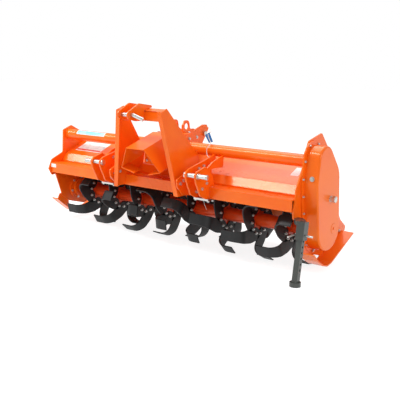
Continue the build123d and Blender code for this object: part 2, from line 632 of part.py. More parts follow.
stand_pin += bar(pin_bend, grip_end, STAND_PIN_R - 1)
stand_pin += Pos(*pin_bend) * Sphere(STAND_PIN_R)
keep("stand_pin", stand_pin)

# ---------------------------------------------------------------- skids
SKID_T = 8.0
# rows: y, z of the sole; then y, z, corner radius of each web
RIGHT_SOLE = [(-172, 136), (-128, 92), (-58, 50), (0, 34), (55, 44), (345, 176)]
LEFT_SOLE = [(-206, 174), (-114, 100), (-62, 62), (0, 38), (55, 46), (345, 176)]
RIGHT_WEB = [
    (-172, 137, 0), (-152, 198, 12), (-96, 194, 15), (118, 98, 15), (104, 67, 0), (55, 45, 0), (0, 35, 0),
    (-58, 51, 0), (-128, 93, 0),
]
RIGHT_WINDOW = [(-38, 104, 5), (84, 68, 5), (48, 56, 5), (4, 52, 5)]
LEFT_WEB = [(-205, 175, 0), (-181, 218, 10), (-112, 208, 15), (-97, 150, 10), (-90, 86, 0), (-113, 101, 0)]
TAIL_WEB = [(190, 106, 0), (190, 150, 15), (330, 205, 10), (346, 190, 5), (344, 177, 0)]


def skid(sole, width, webs):
    """Bent sole standing out from the side plate, carried by flat webs."""
    shape = side(strip(sole, SKID_T, 30.0), PLATE_OUT, PLATE_OUT + width)
    for web in webs:
        shape += side(web, PLATE_OUT, PLATE_OUT + SKID_T)
    return shape


right_skid = skid(RIGHT_SOLE, 100.0, (RIGHT_WEB, TAIL_WEB))
right_skid -= side(RIGHT_WINDOW, PLATE_OUT - 1, PLATE_OUT + SKID_T + 1)
right_skid -= rim
keep("skid_right", right_skid)
keep("skid_left", mirror_x(skid(LEFT_SOLE, 68.0, (LEFT_WEB, TAIL_WEB))))

# ---------------------------------------------------------------- trailing board
HINGE_R = 8.0
BOARD_HALF = 1040.0
KNUCKLE_HALF = 45.0
LUG_T = 10.0
LUG_IN = 16.0
LUG_BOLT_R = 6.0
keep("hinge_rod", rod(-PLATE_IN, PLATE_IN, HINGE_Y, HINGE_Z, HINGE_R))
BOARD = [(300, 416), (330, 345), (346, 235), (362, 140), (398, 104)]
# rows: y, z, corner radius
KNUCKLE_WEB = [(HINGE_Y - 2, HINGE_Z - 12, 0), (HINGE_Y + 12, HINGE_Z - 4, 0), (312, 405, 0), (300, 412, 0)]
BOARD_LUG = [(330, 345, 0), (322, 364, 0), (368, 350, 10), (402, 328, 12), (398, 294, 14), (337, 290, 0)]
board = side(strip(BOARD, SHEET, 20.0), -BOARD_HALF, BOARD_HALF)
for knuckle_x in (-900, -450, 450, 900):
    board += rod(knuckle_x - KNUCKLE_HALF, knuckle_x + KNUCKLE_HALF, HINGE_Y, HINGE_Z, 15)
    board += side(KNUCKLE_WEB, knuckle_x - KNUCKLE_HALF, knuckle_x + KNUCKLE_HALF)
board -= rod(-1100, 1100, HINGE_Y, HINGE_Z, HINGE_R + 0.5)
for x0 in (-LUG_IN - LUG_T, LUG_IN):
    board += side(BOARD_LUG, x0, x0 + LUG_T)
board -= rod(-LUG_IN - LUG_T - 1, LUG_IN + LUG_T + 1, LUG_Y, LUG_Z, LUG_BOLT_R + 0.2)
keep("trailing_board", board)

# ---------------------------------------------------------------- adjuster of the board
TRUNNION = Vector(0, TRUNNION_Y, TRUNNION_Z)
BOARD_EYE = Vector(0, LUG_Y, LUG_Z)
ADJUSTER = (BOARD_EYE - TRUNNION).normalized()
ADJUSTER_LEN = (BOARD_EYE - TRUNNION).length
TUBE_LEN = 215.0            # from the trunnion to the tube's mouth
SPRING_END = ADJUSTER_LEN - 62.5
COLLAR_T = 10.0
EYE_SLOT = (-5.0, -2.5, 0.0, 2.5, 5.0)


def along(d):
    """Point on the adjuster's axis, measured from its trunnion."""
    p = TRUNNION + ADJUSTER * d
    return (p.X, p.Y, p.Z)


upper = rod(-18, 18, TRUNNION_Y, TRUNNION_Z, 26)
upper += bar(along(20), along(TUBE_LEN), 15)
upper -= rod(-20, 20, TRUNNION_Y, TRUNNION_Z, TRUNNION_R + 0.5)
upper -= bar(along(80), along(TUBE_LEN + 2), 10.5)
keep("adjuster_tube", upper)
lower = bar(along(130), along(ADJUSTER_LEN - 14), 10)
lower += rod(-13, 13, LUG_Y, LUG_Z, 19)
lower += bar(along(SPRING_END + 0.5), along(SPRING_END + 0.5 + COLLAR_T), 23)
for d in EYE_SLOT:
    lower -= rod(-14, 14, LUG_Y + ADJUSTER.Y * d, LUG_Z + ADJUSTER.Z * d, 8)
keep("adjuster_rod", lower)
spring = bar(along(TUBE_LEN + 1), along(SPRING_END), 21)
spring -= bar(along(TUBE_LEN - 5), along(ADJUSTER_LEN - 50), 12)
keep("adjuster_spring", spring)
keep("lug_pin", rod(-34, 34, LUG_Y, LUG_Z, LUG_BOLT_R))

# ---------------------------------------------------------------- write the nodes
BASE = Pos(SHIFT_X, SHIFT_Y, FLOOR_Z)
for name, solids in NODES.items():
    flat = []
    for solid in solids:
        flat.extend(solid.solids())
    shape = BASE * (flat[0] if len(flat) == 1 else Compound(children=flat))
    export_step(shape, "parts/%s.step" % name)
    low = shape.bounding_box().min
    high = shape.bounding_box().max
    print(name, len(flat), [round(v) for v in (low.X, high.X, low.Y, high.Y, low.Z, high.Z)])
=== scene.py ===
"""Finishes and small parts of the rotavator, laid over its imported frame."""

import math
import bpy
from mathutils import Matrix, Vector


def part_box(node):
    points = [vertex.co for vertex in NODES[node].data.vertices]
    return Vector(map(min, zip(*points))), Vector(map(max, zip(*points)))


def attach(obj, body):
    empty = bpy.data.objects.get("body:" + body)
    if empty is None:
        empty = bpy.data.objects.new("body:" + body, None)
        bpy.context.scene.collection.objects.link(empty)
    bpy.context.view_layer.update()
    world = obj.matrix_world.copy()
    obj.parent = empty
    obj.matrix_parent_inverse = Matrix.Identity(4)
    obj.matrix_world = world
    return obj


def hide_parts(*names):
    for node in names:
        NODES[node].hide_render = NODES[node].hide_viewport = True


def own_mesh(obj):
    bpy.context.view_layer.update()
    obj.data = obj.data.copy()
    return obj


bl_info = {
    "name": "Rotavator Dressing",
    "version": (1, 0, 0),
    "blender": (4, 5, 0),
    "location": "View3D > Sidebar > Rotavator",
    "description": "Paint, fasteners and small parts for a tractor-mounted rotavator",
    "category": "Object",
}

import bmesh
import bpy
from bpy.props import FloatProperty, FloatVectorProperty, IntProperty, PointerProperty
from mathutils import Matrix, Vector

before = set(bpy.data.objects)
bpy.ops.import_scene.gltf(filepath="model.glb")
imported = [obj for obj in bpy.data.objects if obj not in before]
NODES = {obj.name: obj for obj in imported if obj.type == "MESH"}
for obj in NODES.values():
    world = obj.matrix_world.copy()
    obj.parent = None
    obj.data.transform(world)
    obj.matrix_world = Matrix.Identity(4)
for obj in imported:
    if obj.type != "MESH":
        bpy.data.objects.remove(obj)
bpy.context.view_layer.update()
MM = 0.001
# the machine's own zero, on the floor below the hitch's centre and the rotor's axis, in the frame
SHIFT = Vector((-0.0445, 0.072, 0.0))

# ------------------------------------------------------------------ sizes carried over from the solids
# millimetres, +X toward the gear case, +Y toward the rear, +Z up from the floor
ROTOR_Z = 250.0
FLANGE_FIRST, FLANGE_PITCH, FLANGE_COUNT = -820.0, 246.0, 8
FLANGE_HALF = 5.0                           # half a blade flange's thickness
SHANK_OUT = 13.0                            # from a flange's middle to its blades' outer faces
BLADES = 6                                  # on each flange
ROTOR_PHASE = -51.4                         # degrees from straight down, first blade of the last flange
ROTOR_STAGGER = 18.0                        # degrees from one flange to the next
PLATE_IN, PLATE_OUT = 1056.0, 1066.0        # faces of the end plates
RIM_OUT, COVER_OUT = 1076.0, 1165.0         # outer faces of the gear case's rim and cover
SKID_OUT = PLATE_OUT + 8.0                  # outer faces of the skids
BEARING_IN = PLATE_IN - 14.0                # inner faces of the rotor's bearings
BEARING_OUT = 1078.0                        # outer end of the left bearing
TUBE_Y, TUBE_Z, TUBE_R = -85.0, 677.0, 38.0     # main tubes
TUBE_FLANGE_OUT = 124.0                     # faces of the main tubes' flanges at the gearbox
GEARBOX_FRONT, GEARBOX_REAR, GEARBOX_TOP = -202.0, 35.0, 765.0   # the front is its plate's face
FOOT_IN, FOOT_NUT, FOOT_OUT = 258.0, 262.0, 301.0   # mast's feet: bolt ends, nut seats, outer faces
EAR_IN, EAR_OUT = 372.0, 384.0              # faces of the inner hitch ears
OUTER_EAR_OUT, CLAMP_UNDER = 462.0, 386.0   # outer hitch ears, and the underside of their clamps
BRACKET_OUT = 55.0                          # outer faces of the rear brackets
# rows: y, z, radius of the rounds that the gear case's outline runs over, in order
CASE = ((0.0, 268.0, 135.0), (-35.0, 560.0, 140.0), (-75.0, 690.0, 85.0), (-35.0, 560.0, 140.0))
TRUNNION, HUB_R = Vector((0.0, 190.0, 745.0)), 26.0     # the adjuster's pivot and the hub on it
BOARD_EYE = Vector((0.0, 385.0, 318.0))
HOOD_Y, HOOD_Z, HOOD_SLOPE = -122.0, 530.0, 98.0 / 222.0    # front fold of the hood's sloping top

# ------------------------------------------------------------------ directions and stock sizes
SIDES = (1, -1)
RIGHT, LEFT = (1, 0, 0), (-1, 0, 0)
FORE, AFT = (0, -1, 0), (0, 1, 0)
UP, DOWN = (0, 0, 1), (0, 0, -1)
M8, M10, M12 = 13.0, 16.0, 19.0             # widths across flats
M12_SHANK = 6.0                             # radius
WASHER_T = 2.0
# radii and heights of a bolt's parts for each millimetre across its flats
WASHER_R, CORNER_R, CHAMFER_R, THREAD_R = 0.62, 0.577, 0.44, 0.31
HEAD_H, CHAMFER_H = 0.38, 0.05


def at(x, y, z):
    """A place given in machine millimetres."""
    return Vector((x * MM, y * MM, z * MM)) + SHIFT


# ------------------------------------------------------------------ finishes
def linear(code):
    """sRGB hex to the linear values that shaders take."""
    out = []
    for i in (1, 3, 5):
        v = int(code[i:i + 2], 16) / 255
        out.append(v / 12.92 if v <= 0.04045 else ((v + 0.055) / 1.055) ** 2.4)
    return tuple(out)


def rgba(colour):
    return (colour[0], colour[1], colour[2], 1.0)


def grey(level):
    return (level, level, level, 1.0)


def add(mat, kind, settings=None, links=None):
    """Adds one node, sets its values and links its inputs."""
    tree = mat.node_tree
    made = tree.nodes.new(kind)
    for key, value in (settings or {}).items():
        if hasattr(made, key):
            setattr(made, key, value)
        else:
            made.inputs[key].default_value = value
    for key, source in (links or {}).items():
        tree.links.new(source, made.inputs[key])
    return made


def new_finish(name):
    mat = bpy.data.materials.new(name)
    mat.use_nodes = True
    mat.node_tree.nodes.clear()
    return mat


def close_finish(mat, shader):
    add(mat, "ShaderNodeOutputMaterial", None, {"Surface": shader.outputs[0]})
    return mat


def stops(made, *rows):
    """Sets a colour ramp's stops from rows of place and colour."""
    ramp = made.color_ramp
    while len(ramp.elements) < len(rows):
        ramp.elements.new(0.5)
    for stop, (place, colour) in zip(ramp.elements, rows):
        stop.position = place
        stop.color = rgba(colour)


def powder_coat(name, base, dark, rough=0.30, peel_mm=2.5, depth=0.00012,
                glint=(1.0, 1.0, 1.0), clear=0.35):
    """Powder coat or enamel: a smooth, slightly rippled film, thinner in places."""
    mat = new_finish(name)
    where = add(mat, "ShaderNodeTexCoord").outputs["Object"]
    # broad cloud: the film is thinner and redder in places
    cloud = add(mat, "ShaderNodeTexNoise", {"Scale": 3.0, "Detail": 4.0, "Roughness": 0.6},
                {"Vector": where})
    tone = add(mat, "ShaderNodeValToRGB", None, {"Fac": cloud.outputs["Fac"]})
    stops(tone, (0.30, dark), (0.62, base))
    # orange peel of the baked film
    peel = add(mat, "ShaderNodeTexNoise", {"Scale": 1.0 / (peel_mm * MM), "Detail": 1.0},
               {"Vector": where})
    # sheet edges are rounded by the shears and by the film
    rounded = add(mat, "ShaderNodeBevel", {"samples": 4, "Radius": 2.5 * MM})
    bump = add(mat, "ShaderNodeBump", {"Strength": 0.25, "Distance": depth},
               {"Height": peel.outputs["Fac"], "Normal": rounded.outputs["Normal"]})
    gloss = add(mat, "ShaderNodeMapRange",
                {"From Min": 0.3, "From Max": 0.7, "To Min": rough - 0.05, "To Max": rough + 0.09},
                {"Value": cloud.outputs["Fac"]})
    coat = add(mat, "ShaderNodeBsdfPrincipled",
               {"IOR": 1.5, "Specular IOR Level": 0.5, "Specular Tint": rgba(glint),
                "Coat Weight": clear, "Coat Roughness": 0.12},
               {"Base Color": tone.outputs["Color"], "Roughness": gloss.outputs["Result"],
                "Normal": bump.outputs["Normal"]})
    return close_finish(mat, coat)


def metal(name, base, dark, rough, grain_mm, finer=(1.0, 1.0, 1.0), depth=0.00003):
    """Bare or plated metal; its grain can be so many times finer along X, Y and Z."""
    mat = new_finish(name)
    where = add(mat, "ShaderNodeTexCoord").outputs["Object"]
    scaled = add(mat, "ShaderNodeMapping", {"Scale": finer}, {"Vector": where})
    # grain left by turning or plating
    grain = add(mat, "ShaderNodeTexNoise", {"Scale": 1.0 / (grain_mm * MM), "Detail": 3.0},
                {"Vector": scaled.outputs["Vector"]})
    tone = add(mat, "ShaderNodeValToRGB", None, {"Fac": grain.outputs["Fac"]})
    stops(tone, (0.25, dark), (0.7, base))
    bump = add(mat, "ShaderNodeBump", {"Strength": 0.3, "Distance": depth},
               {"Height": grain.outputs["Fac"]})
    gloss = add(mat, "ShaderNodeMapRange",
                {"From Min": 0.2, "From Max": 0.8, "To Min": rough - 0.08, "To Max": rough + 0.1},
                {"Value": grain.outputs["Fac"]})
    body = add(mat, "ShaderNodeBsdfPrincipled", {"Metallic": 1.0},
               {"Base Color": tone.outputs["Color"], "Roughness": gloss.outputs["Result"],
                "Normal": bump.outputs["Normal"]})
    return close_finish(mat, body)


def plain_film(name, face, edge, cloud_mm):
    """Film, card or cotton in one plain colour, with a faint cloud of its own size in it."""
    mat = new_finish(name)
    where = add(mat, "ShaderNodeTexCoord").outputs["Object"]
    cloud = add(mat, "ShaderNodeTexNoise", {"Scale": 1.0 / (cloud_mm * MM), "Detail": 2.0},
                {"Vector": where})
    tone = add(mat, "ShaderNodeValToRGB", None, {"Fac": cloud.outputs["Fac"]})
    stops(tone, (0.38, edge), (0.55, face))
    # the film lies a little uneven
    bump = add(mat, "ShaderNodeBump", {"Strength": 0.1, "Distance": 0.0001},
               {"Height": cloud.outputs["Fac"]})
    skin = add(mat, "ShaderNodeBsdfPrincipled", {"Roughness": 0.35},
               {"Base Color": tone.outputs["Color"], "Normal": bump.outputs["Normal"]})
    return close_finish(mat, skin)


# the pigment flakes under the clear film reflect warm light
WARM = (1.0, 0.62, 0.22)
FINISHES = {}


def make_finishes():
    tints = bpy.context.scene.rotavator_colours
    # bright orange skin of the whole frame, with a clear film's glint
    FINISHES["orange"] = powder_coat("Orange powder coat on sheet steel", tints.orange,
                                     tints.orange_shade, glint=WARM)
    # coarser skin where the casting shows through the paint
    FINISHES["cast"] = powder_coat("Orange paint on cast iron", tints.orange, tints.orange_shade,
                                   glint=WARM, rough=0.38, peel_mm=4.0, depth=0.0006)
    # deeper red on the rotor tube: painted shade for the shadow it lies in under the hood
    FINISHES["rotor"] = powder_coat("Red-orange paint with painted shade on the rotor", linear("#F04A18"),
                                    linear("#E03E12"), glint=WARM, rough=0.34)
    # near-black blades with a grey sheen on their flats
    FINISHES["blade"] = powder_coat("Black dip paint on hardened boron steel", tints.blade,
                                    linear("#101112"), rough=0.5, clear=0.0, peel_mm=5.0, depth=0.0003)
    # dull green-grey of the parking stand
    FINISHES["stand"] = powder_coat("Dark grey enamel on stand tube", tints.stand,
                                    linear("#30332F"), rough=0.42, peel_mm=3.0)
    FINISHES["spring"] = powder_coat("Black enamel on spring wire", linear("#171717"),
                                     linear("#0D0D0D"), rough=0.35)
    # pale plated fasteners, the bright dots over the orange
    FINISHES["zinc"] = metal("Bright zinc plate", linear("#E4E4E0"), linear("#B4B5B3"), 0.34, 3.0)
    # the input shaft, with the lathe's fine rings along it
    FINISHES["steel"] = metal("Greased turned steel", linear("#8C8A86"), linear("#5C5A57"),
                              0.36, 2.0, (1.0, 8.0, 1.0))
    FINISHES["white"] = plain_film("White vinyl film", linear("#F2F2EE"), linear("#DCDDDA"), 22.0)
    FINISHES["blue"] = plain_film("Blue vinyl film", linear("#86C9E8"), linear("#A9DAEF"), 70.0)
    FINISHES["tag"] = plain_film("Blue card of the swing tag", linear("#2B6FB2"), linear("#3D80BF"), 40.0)
    FINISHES["red"] = plain_film("Red vinyl film", linear("#D8322A"), linear("#E6655C"), 14.0)
    FINISHES["twine"] = plain_film("White cotton twine", linear("#EFEDE6"), linear("#C9C6BC"), 1.5)


# rows: finish, the nodes that wear it; every other node is orange
NODE_FINISH = (
    ("blade", ["blade_set_%d" % i for i in range(1, FLANGE_COUNT + 1)]),
    # the rotor tube wears the deeper red, painted shade for the hood's shadow
    ("rotor", ["rotor_tube"]),
    ("stand", ["stand_tube", "stand_socket"]),
    ("zinc", ["top_link_pin", "lower_link_pin_left", "lower_link_pin_right", "stand_pin",
              "gear_case_plug", "hitch_clamp_left", "hitch_clamp_right", "lug_pin", "hinge_rod",
              "adjuster_rod", "trunnion"]),
    ("steel", ["pto_shaft"]),
    ("cast", ["gearbox", "gearbox_front_plate", "bearing_left", "bearing_right"]),
    ("spring", ["adjuster_spring"]),
)


# ------------------------------------------------------------------ small shapes
def aim(place, way):
    """Matrix that sets a shape's Z along a direction at a place in machine millimetres."""
    return Matrix.Translation(at(*place)) @ Vector(way).to_track_quat("Z", "Y").to_matrix().to_4x4()


def drum(bm, place, way, radius, height, sides, top=None):
    """Disc or cone standing on a place; its far end may differ in radius."""
    way = Vector(way).normalized()
    middle = Vector(place) + way * (height / 2)
    bmesh.ops.create_cone(bm, cap_ends=True, segments=sides, radius1=radius * MM,
                          radius2=(radius if top is None else top) * MM, depth=height * MM,
                          matrix=aim(middle, way))


def stack(bm, place, way, rows):
    """Discs one on another; rows: radius, height, sides and, for a cone, the far radius."""
    way = Vector(way).normalized()
    foot = Vector(place)
    for radius, height, sides, *top in rows:
        drum(bm, foot, way, radius, height, sides, *top)
        foot = foot + way * height


def bolt(bm, place, way, across, stud=0.0):
    """Hexagon head or nut on a washer; stud is the thread that stands out of a nut."""
    rows = [
        (across * WASHER_R, WASHER_T, 20),
        (across * CORNER_R, across * HEAD_H, 6),
        (across / 2, across * CHAMFER_H, 12, across * CHAMFER_R),
    ]
    if stud:
        rows.append((across * THREAD_R, stud, 12))
    stack(bm, place, way, rows)


def bolts(bm, rows, sides=SIDES):
    """Bolts on each side; rows, as on the right: x, y, z, direction, width, thread."""
    for s in sides:
        for x, y, z, way, across, stud in rows:
            bolt(bm, (s * x, y, z), (s * way[0], way[1], way[2]), across, stud)


def ring(count, radius, middle, first=0.0):
    """Evenly spaced places on a circle, the first at an angle in degrees."""
    turns = [math.radians(first + 360.0 * k / count) for k in range(count)]
    return [(middle[0] + radius * math.cos(t), middle[1] + radius * math.sin(t)) for t in turns]


def arc(middle, radius, start, end, steps):
    """Points of an arc round a line along X, angles in degrees from the rear upward."""
    x, y, z = middle
    turns = [math.radians(start + (end - start) * i / steps) for i in range(steps + 1)]
    return [(x, y + radius * math.cos(t), z + radius * math.sin(t)) for t in turns]


def plate(bm, corners, thick):
    """Flat sheet from corners in machine millimetres, thickened along its normal."""
    face = bm.faces.new([bm.verts.new(at(*c)) for c in corners])
    bm.normal_update()
    grown = bmesh.ops.extrude_face_region(bm, geom=[face])
    push = face.normal * (thick * MM)
    bmesh.ops.translate(bm, vec=push, verts=[v for v in grown["geom"] if isinstance(v, bmesh.types.BMVert)])


def belt_line(grow, steps=24):
    """Closed outline a given distance outside the gear case, with steps round each corner."""
    count = len(CASE)
    touch = []
    for i in range(count):
        ay, az, ar = CASE[i]
        by, bz, br = CASE[(i + 1) % count]
        length = math.hypot(by - ay, bz - az)
        touch.append(math.atan2(bz - az, by - ay) - math.acos((ar - br) / length))
    points = []
    for i in range(count):
        y, z, r = CASE[i]
        start, end = touch[i - 1], touch[i]
        while end < start:
            end += math.tau
        for k in range(steps + 1):
            t = start + (end - start) * k / steps
            points.append((y + (r + grow) * math.cos(t), z + (r + grow) * math.sin(t)))
    return points


def spaced(points, count, first=0.0):
    """Evenly spaced places along a closed outline, from a distance along it."""
    total = sum(math.dist(points[i - 1], points[i]) for i in range(len(points)))
    out, run, want = [], 0.0, first
    for i in range(len(points)):
        a, b = points[i - 1], points[i]
        d = math.dist(a, b)
        while d > 0 and want <= run + d and len(out) < count:
            f = (want - run) / d
            out.append((a[0] + (b[0] - a[0]) * f, a[1] + (b[1] - a[1]) * f))
            want += total / count
        run += d
    return out


def hood_top(y):
    """Height of the hood's sloping top."""
    return HOOD_Z + (y - HOOD_Y) * HOOD_SLOPE


# ------------------------------------------------------------------ pieces
def piece(name, bm, finish, body):
    """Turns a bmesh into a named piece that rides on a body of the frame."""
    bmesh.ops.recalc_face_normals(bm, faces=bm.faces)
    mesh = bpy.data.meshes.new(name)
    bm.to_mesh(mesh)
    bm.free()
    obj = bpy.data.objects.new(name, mesh)
    bpy.context.scene.collection.objects.link(obj)
    mesh.materials.append(FINISHES[finish])
    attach(obj, body)
    return obj


def fitting(name, place, way, rows, finish="zinc"):
    """One small fitting of the frame, built up from discs."""
    bm = bmesh.new()
    stack(bm, place, way, rows)
    piece(name, bm, finish, "frame")


def wire(name, points, radius, finish, body):
    """Bent wire or twine through points in machine millimetres."""
    line = bpy.data.curves.new(name, "CURVE")
    line.dimensions = "3D"
    line.bevel_depth = radius * MM
    line.bevel_resolution = 2
    line.use_fill_caps = True
    strand = line.splines.new("POLY")
    strand.points.add(len(points) - 1)
    for spot, p in zip(strand.points, points):
        spot.co = (*at(*p), 1.0)
    obj = bpy.data.objects.new(name, line)
    bpy.context.scene.collection.objects.link(obj)
    line.materials.append(FINISHES[finish])
    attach(obj, body)
    return obj


# ------------------------------------------------------------------ what a user may change
class RotavatorColours(bpy.types.PropertyGroup):
    """Colours of the machine's finishes."""
    orange: FloatVectorProperty(
        name="Orange", description="Powder coat of the frame",
        subtype="COLOR", default=linear("#FC700E"))
    orange_shade: FloatVectorProperty(
        name="Orange, thin", description="Powder coat where it lies thinner",
        subtype="COLOR", default=linear("#F65E0A"))
    blade: FloatVectorProperty(
        name="Blade black", description="Dip paint of the blades",
        subtype="COLOR", default=linear("#111315"))
    stand: FloatVectorProperty(
        name="Stand grey", description="Enamel of the parking stand",
        subtype="COLOR", default=linear("#454A45"))


class RotavatorFasteners(bpy.types.PropertyGroup):
    """Sizes of the machine's fasteners and spring."""
    blade_bolt: FloatProperty(
        name="Blade bolt", description="Width across flats of the blade bolts",
        default=15.5 * MM, unit="LENGTH", precision=4)
    blade_circle: FloatProperty(
        name="Bolt circle", description="Radius at which the blades are bolted",
        default=93.0 * MM, unit="LENGTH", precision=4)
    rim_bolts: IntProperty(
        name="Rim bolts", description="Bolts round the gear case", default=16)
    spring_wire: FloatProperty(
        name="Spring wire", description="Radius of the adjuster's spring wire",
        default=3.4 * MM, unit="LENGTH", precision=4)
    spring_turns: IntProperty(
        name="Spring turns", description="Turns of the adjuster's spring", default=12)


# ------------------------------------------------------------------ operators
class ROTAVATOR_OT_finishes(bpy.types.Operator):
    """Paint and plate every carried-over solid"""
    bl_idname = "rotavator.finishes"
    bl_label = "Finishes"

    def execute(self, context):
        make_finishes()
        worn = {node: key for key, nodes in NODE_FINISH for node in nodes}
        for name, obj in NODES.items():
            obj.data.materials.clear()
            obj.data.materials.append(FINISHES[worn.get(name, "orange")])
        return {"FINISHED"}


class ROTAVATOR_OT_blade_bolts(bpy.types.Operator):
    """Two bolts at each blade's root"""
    bl_idname = "rotavator.blade_bolts"
    bl_label = "Blade bolts"

    # degrees from a blade's own direction to its two bolts
    LEADS = (43.0, 72.0)
    THREAD = 5.0

    def execute(self, context):
        sizes = context.scene.rotavator_fasteners
        across, circle = sizes.blade_bolt / MM, sizes.blade_circle / MM
        nuts, heads = bmesh.new(), bmesh.new()
        for i in range(FLANGE_COUNT):
            x = FLANGE_FIRST + i * FLANGE_PITCH
            first = ROTOR_PHASE - ROTOR_STAGGER * (FLANGE_COUNT - 1 - i)
            for k in range(BLADES):
                for lead in self.LEADS:
                    t = math.radians(first + 360.0 / BLADES * k + lead)
                    y, z = circle * math.sin(t), ROTOR_Z - circle * math.cos(t)
                    bolt(nuts, (x + SHANK_OUT, y, z), RIGHT, across, self.THREAD)
                    bolt(heads, (x - FLANGE_HALF, y, z), LEFT, across)
        piece("blade_nuts", nuts, "zinc", "rotor")
        piece("blade_bolt_heads", heads, "zinc", "rotor")
        return {"FINISHED"}


class ROTAVATOR_OT_case_bolts(bpy.types.Operator):
    """Bolts and plugs of the gear case"""
    bl_idname = "rotavator.case_bolts"
    bl_label = "Gear case bolts"

    # bolt line outside the case's belt, and where along it the first bolt sits
    RIM_GAP, RIM_FIRST = 13.0, 60.0
    FILLER_X, FILLER_WAY = 1126, (0, -1, 0.18)

    def execute(self, context):
        sizes = context.scene.rotavator_fasteners
        bm = bmesh.new()
        for y, z in spaced(belt_line(self.RIM_GAP), sizes.rim_bolts, self.RIM_FIRST):
            bolt(bm, (RIM_OUT, y, z), RIGHT, M8, 3.0)
        piece("gear_case_bolts", bm, "zinc", "frame")
        bm = bmesh.new()
        # rows: y and z of the foot, radius, height, sides
        for y, z, radius, height, sides in ((-170, 588, 15.0, 6.0, 24), (-176, 589, 10.0, 7.0, 6)):
            drum(bm, (self.FILLER_X, y, z), self.FILLER_WAY, radius, height, sides)
        piece("gear_case_filler_plug", bm, "zinc", "frame")
        fitting("gear_case_drain_boss", (COVER_OUT, 55, 262), RIGHT,
                ((34.0, 1.6, 40, 32.0), (9.0, 4.0, 6)), "orange")
        # the hexagon stands on the middle plug, wherever the solid has it
        low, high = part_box("gear_case_plug")
        y, z = [((low[i] + high[i]) / 2 - SHIFT[i]) / MM for i in (1, 2)]
        fitting("gear_case_plug_nut", (COVER_OUT, y, z), RIGHT,
                ((19.0, 3.0, 24), (15.0, 12.0, 24), (21.0, 20.0, 6), (18.0, 2.0, 24, 14.0)))
        return {"FINISHED"}


class ROTAVATOR_OT_frame_bolts(bpy.types.Operator):
    """Bolts of mast, hitch, brackets, gearbox, bearings and skids"""
    bl_idname = "rotavator.frame_bolts"
    bl_label = "Frame bolts"

    def execute(self, context):
        bm = bmesh.new()
        for y, z in ((-361, 486), (-331, 501)):
            for s in SIDES:
                drum(bm, (s * FOOT_IN, y, z), (s, 0, 0), M12_SHANK, FOOT_OUT - FOOT_IN, 12)
            bolts(bm, ((FOOT_OUT, y, z, RIGHT, M12, 0.0), (FOOT_NUT, y, z, LEFT, M12, 4.0)))
        piece("mast_foot_bolts", bm, "zinc", "frame")

        bm = bmesh.new()
        for y, z in ((-282, 580), (-233, 592), (-301, 438)):
            bolts(bm, ((EAR_OUT, y, z, RIGHT, M12, 4.0), (EAR_IN, y, z, LEFT, M12, 0.0)))
        bolts(bm, [(x, y, CLAMP_UNDER, DOWN, M10, 0.0) for x in (366, 468) for y in (-286, -242)])
        bolts(bm, [(OUTER_EAR_OUT, y, z, RIGHT, M10, 0.0) for y, z in ((-345, 470), (-300, 500))])
        piece("hitch_bolts", bm, "zinc", "frame")

        bm = bmesh.new()
        bolts(bm, [(BRACKET_OUT, y, z, RIGHT, M12, 3.0) for y, z in ((12, 744), (103, 725))])
        for s in SIDES:
            stack(bm, (s * BRACKET_OUT, 47, 715), (s, 0, 0), ((17.0, 5.0, 24), (8.0, 3.0, 12)))
        piece("rear_bracket_bolts", bm, "zinc", "frame")

        bm = bmesh.new()
        flange = ring(8, 60.0, (TUBE_Y, TUBE_Z), 22.5)
        bolts(bm, [(TUBE_FLANGE_OUT, y, z, RIGHT, M10, 3.0) for y, z in flange])
        bolts(bm, [(x, GEARBOX_FRONT, z, FORE, M10, 0.0) for x, z in ((130, 575), (118, 660), (70, 755))])
        bolts(bm, [(x, GEARBOX_REAR, z, AFT, M10, 0.0) for x, z in ((85, 590), (85, 715))])
        bolts(bm, [(x, y, GEARBOX_TOP, UP, M10, 0.0) for x, y in ((80, -140), (80, -10))])
        piece("gearbox_bolts", bm, "zinc", "frame")

        bm = bmesh.new()
        for s, circle in ((-1, 79.0), (1, 73.0)):
            places = ring(6, circle, (0.0, ROTOR_Z), 15.0)
            bolts(bm, [(BEARING_IN, y, z, LEFT, M10, 0.0) for y, z in places], (s,))
            if s < 0:
                # the gear case hides their other ends on the right
                bolts(bm, [(PLATE_OUT, y, z, RIGHT, M10, 0.0) for y, z in places], (s,))
        piece("bearing_bolts", bm, "zinc", "frame")

        bm = bmesh.new()
        # rows: sides, face, places in y and z; the third is on the left end plate itself
        for sides, face, places in (
                ((1,), SKID_OUT, ((-80, 169), (-15, 132))),
                (SIDES, SKID_OUT, ((240, 150), (318, 185))),
                ((-1,), PLATE_OUT, ((-205, 430), (-205, 400))),
                ((-1,), SKID_OUT, ((-148, 190), (-118, 120)))):
            bolts(bm, [(face, y, z, RIGHT, M10, 0.0) for y, z in places], sides)
        piece("skid_bolts", bm, "zinc", "frame")
        return {"FINISHED"}


